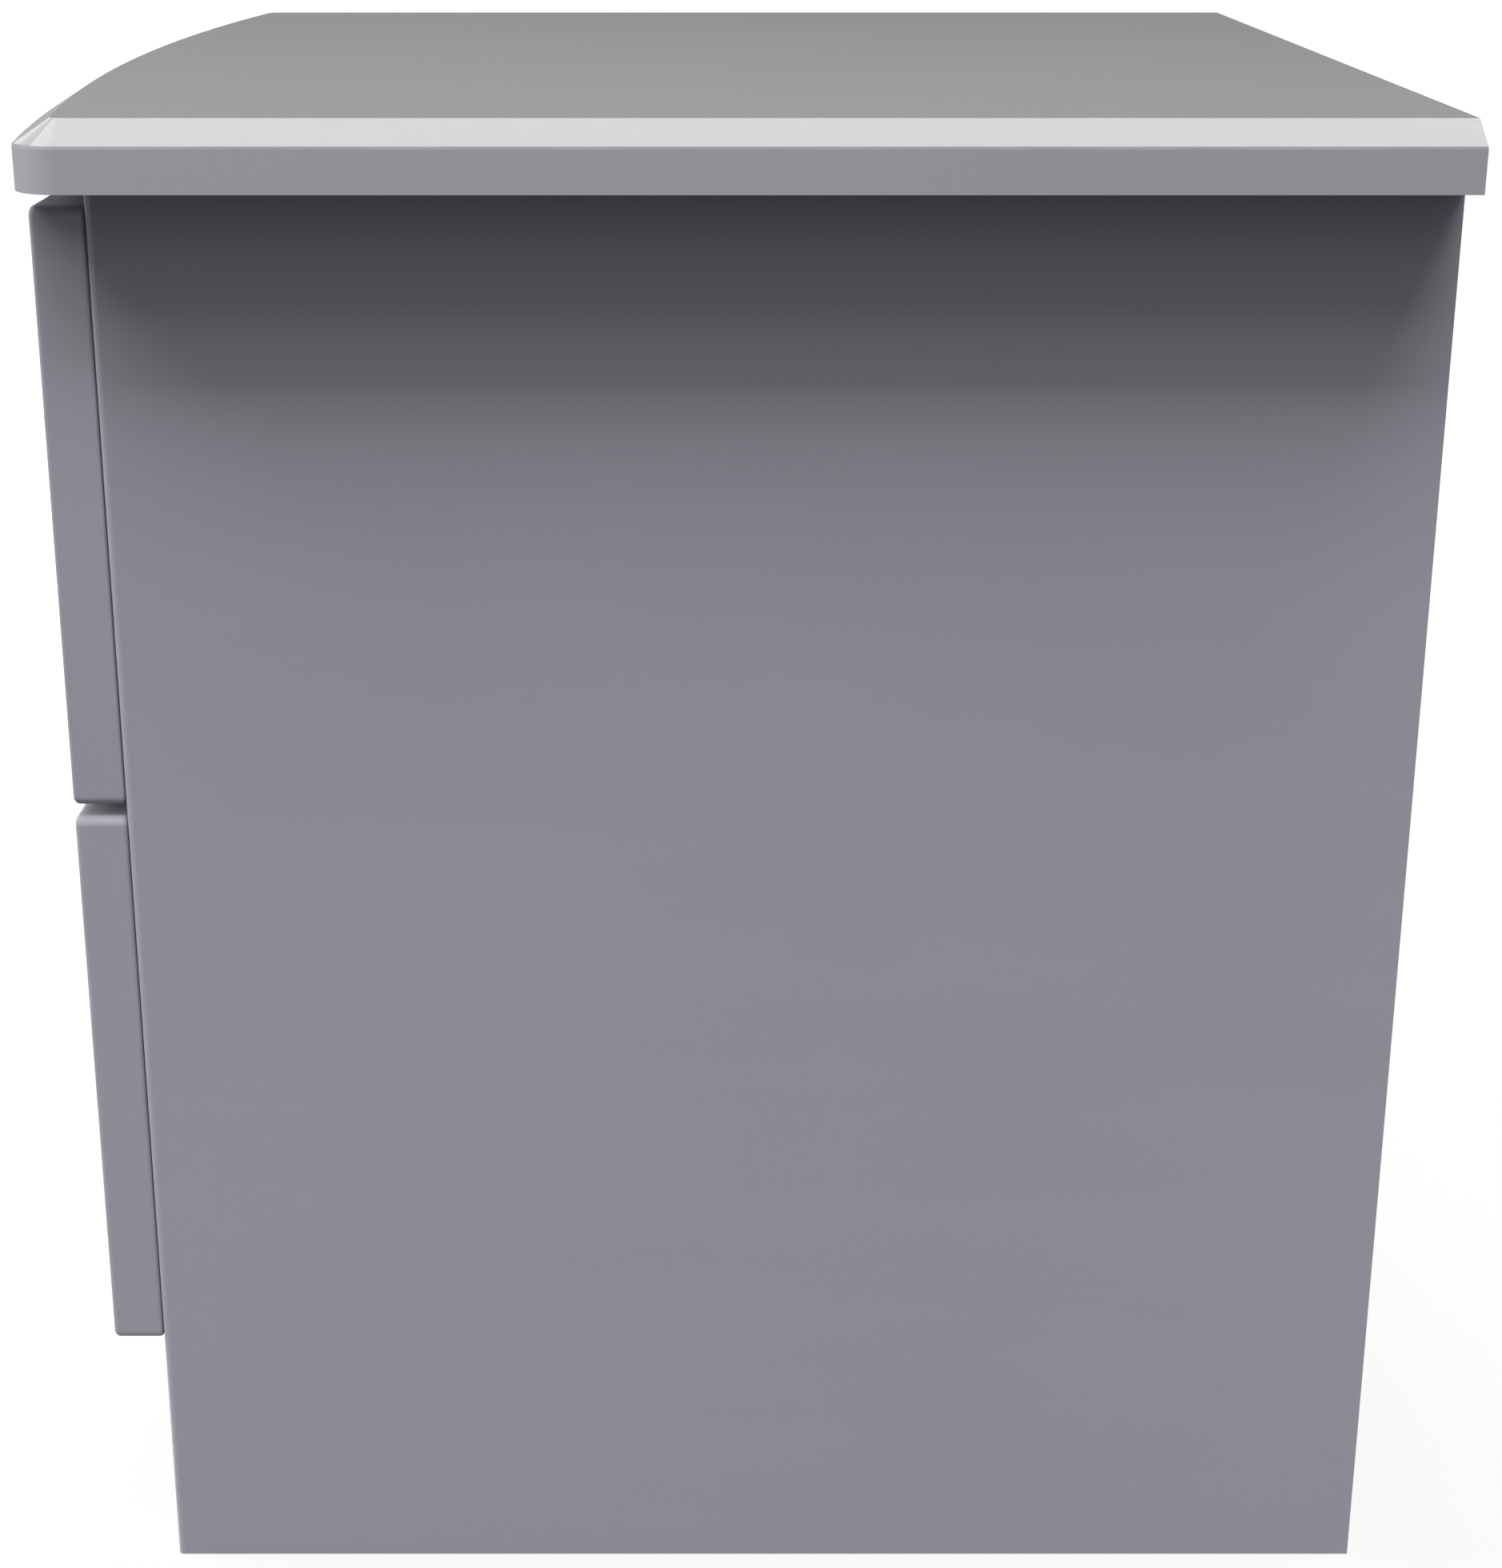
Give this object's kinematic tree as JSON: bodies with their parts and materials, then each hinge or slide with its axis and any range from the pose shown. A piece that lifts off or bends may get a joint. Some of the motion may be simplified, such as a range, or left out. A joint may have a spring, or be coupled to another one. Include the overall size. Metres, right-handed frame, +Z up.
{
  "type": "bedside cabinet",
  "caption": "Grey bedside cabinet with stacked drawers on roller runners, bow handles and an overhanging bevelled top with a bowed front edge.",
  "frame": {"origin": "on the floor, at the middle of the overall box", "axes": "+X to the cabinet's right as seen from the front, -Y out of the drawer fronts, +Z up"},
  "size_m": [0.44, 0.4576, 0.505],
  "materials": {
    "grey_foil": "matt grey foil on fibreboard",
    "grey_board": "matt grey melamine on chipboard",
    "grey_edging": "matt grey plastic edging",
    "hardboard": "brown hardboard, painted grey inside",
    "drawer_foil": "pale grey foil",
    "beech": "plain beech",
    "zinc_steel": "zinc plated",
    "runner_steel": "white powder coat",
    "nylon": "natural nylon",
    "satin_nickel": "satin nickel plate"
  },
  "bodies": {
    "carcass": {"top_panel": "grey_foil", "left_side_panel": "grey_board", "right_side_panel": "grey_board", "left_front_edging": "grey_edging", "right_front_edging": "grey_edging", "base_panel": "grey_board", "plinth_board": "grey_board", "front_top_rail": "grey_board", "rear_top_rail": "grey_board", "back_panel": "hardboard", "carcass_dowels": "beech", "cam_bolts": "zinc_steel", "cam_locks": "zinc_steel", "top_fixing_screws": "zinc_steel", "back_panel_pins": "zinc_steel", "cabinet_runner_screws": "zinc_steel", "cabinet_roller_rivets": "zinc_steel", "lower_left_cabinet_runner": "runner_steel", "lower_right_cabinet_runner": "runner_steel", "upper_left_cabinet_runner": "runner_steel", "upper_right_cabinet_runner": "runner_steel"},
    "lower_drawer": {"lower_front_panel": "grey_foil", "lower_drawer_box_front": "drawer_foil", "lower_drawer_box_back": "drawer_foil", "lower_drawer_left_side": "drawer_foil", "lower_drawer_right_side": "drawer_foil", "lower_drawer_bottom": "drawer_foil", "lower_drawer_dowels": "beech", "lower_front_screws": "zinc_steel", "lower_handle": "satin_nickel", "lower_handle_screws": "zinc_steel", "lower_drawer_left_runner": "runner_steel", "lower_drawer_right_runner": "runner_steel", "lower_drawer_runner_screws": "zinc_steel", "lower_drawer_roller_rivets": "zinc_steel"},
    "lower_left_front_roller": {"lower_left_front_roller": "nylon"},
    "lower_left_rear_roller": {"lower_left_rear_roller": "nylon"},
    "lower_right_front_roller": {"lower_right_front_roller": "nylon"},
    "lower_right_rear_roller": {"lower_right_rear_roller": "nylon"},
    "upper_drawer": {"upper_front_panel": "grey_foil", "upper_drawer_box_front": "drawer_foil", "upper_drawer_box_back": "drawer_foil", "upper_drawer_left_side": "drawer_foil", "upper_drawer_right_side": "drawer_foil", "upper_drawer_bottom": "drawer_foil", "upper_drawer_dowels": "beech", "upper_front_screws": "zinc_steel", "upper_handle": "satin_nickel", "upper_handle_screws": "zinc_steel", "upper_drawer_left_runner": "runner_steel", "upper_drawer_right_runner": "runner_steel", "upper_drawer_runner_screws": "zinc_steel", "upper_drawer_roller_rivets": "zinc_steel"},
    "upper_left_front_roller": {"upper_left_front_roller": "nylon"},
    "upper_left_rear_roller": {"upper_left_rear_roller": "nylon"},
    "upper_right_front_roller": {"upper_right_front_roller": "nylon"},
    "upper_right_rear_roller": {"upper_right_rear_roller": "nylon"}
  },
  "joints": [
    {"name": "lower_drawer_slide", "type": "slide", "parent": "carcass", "child": "lower_drawer", "axis": [0, -1, 0], "range_m": [0, 0.265]},
    {"name": "lower_left_front_roller_spin", "type": "hinge", "parent": "carcass", "child": "lower_left_front_roller", "pos_m": [-0.17845, -0.1724, 0.118], "axis": [1, 0, 0], "continuous": true},
    {"name": "lower_left_rear_roller_spin", "type": "hinge", "parent": "lower_drawer", "child": "lower_left_rear_roller", "pos_m": [-0.17705, 0.1562, 0.116], "axis": [1, 0, 0], "continuous": true},
    {"name": "lower_right_front_roller_spin", "type": "hinge", "parent": "carcass", "child": "lower_right_front_roller", "pos_m": [0.17845, -0.1724, 0.118], "axis": [1, 0, 0], "continuous": true},
    {"name": "lower_right_rear_roller_spin", "type": "hinge", "parent": "lower_drawer", "child": "lower_right_rear_roller", "pos_m": [0.17705, 0.1562, 0.116], "axis": [1, 0, 0], "continuous": true},
    {"name": "upper_drawer_slide", "type": "slide", "parent": "carcass", "child": "upper_drawer", "axis": [0, -1, 0], "range_m": [0, 0.265]},
    {"name": "upper_left_front_roller_spin", "type": "hinge", "parent": "carcass", "child": "upper_left_front_roller", "pos_m": [-0.17845, -0.1724, 0.31545], "axis": [1, 0, 0], "continuous": true},
    {"name": "upper_left_rear_roller_spin", "type": "hinge", "parent": "upper_drawer", "child": "upper_left_rear_roller", "pos_m": [-0.17705, 0.1562, 0.31345], "axis": [1, 0, 0], "continuous": true},
    {"name": "upper_right_front_roller_spin", "type": "hinge", "parent": "carcass", "child": "upper_right_front_roller", "pos_m": [0.17845, -0.1724, 0.31545], "axis": [1, 0, 0], "continuous": true},
    {"name": "upper_right_rear_roller_spin", "type": "hinge", "parent": "upper_drawer", "child": "upper_right_rear_roller", "pos_m": [0.17705, 0.1562, 0.31345], "axis": [1, 0, 0], "continuous": true}
  ],
  "couplings": [
    {"joint": "lower_left_front_roller_spin", "follows": "lower_drawer_slide", "rad_per_m": 125},
    {"joint": "lower_left_rear_roller_spin", "follows": "lower_drawer_slide", "rad_per_m": 125},
    {"joint": "lower_right_front_roller_spin", "follows": "lower_drawer_slide", "rad_per_m": 125},
    {"joint": "lower_right_rear_roller_spin", "follows": "lower_drawer_slide", "rad_per_m": 125},
    {"joint": "upper_left_front_roller_spin", "follows": "upper_drawer_slide", "rad_per_m": 125},
    {"joint": "upper_left_rear_roller_spin", "follows": "upper_drawer_slide", "rad_per_m": 125},
    {"joint": "upper_right_front_roller_spin", "follows": "upper_drawer_slide", "rad_per_m": 125},
    {"joint": "upper_right_rear_roller_spin", "follows": "upper_drawer_slide", "rad_per_m": 125}
  ]
}
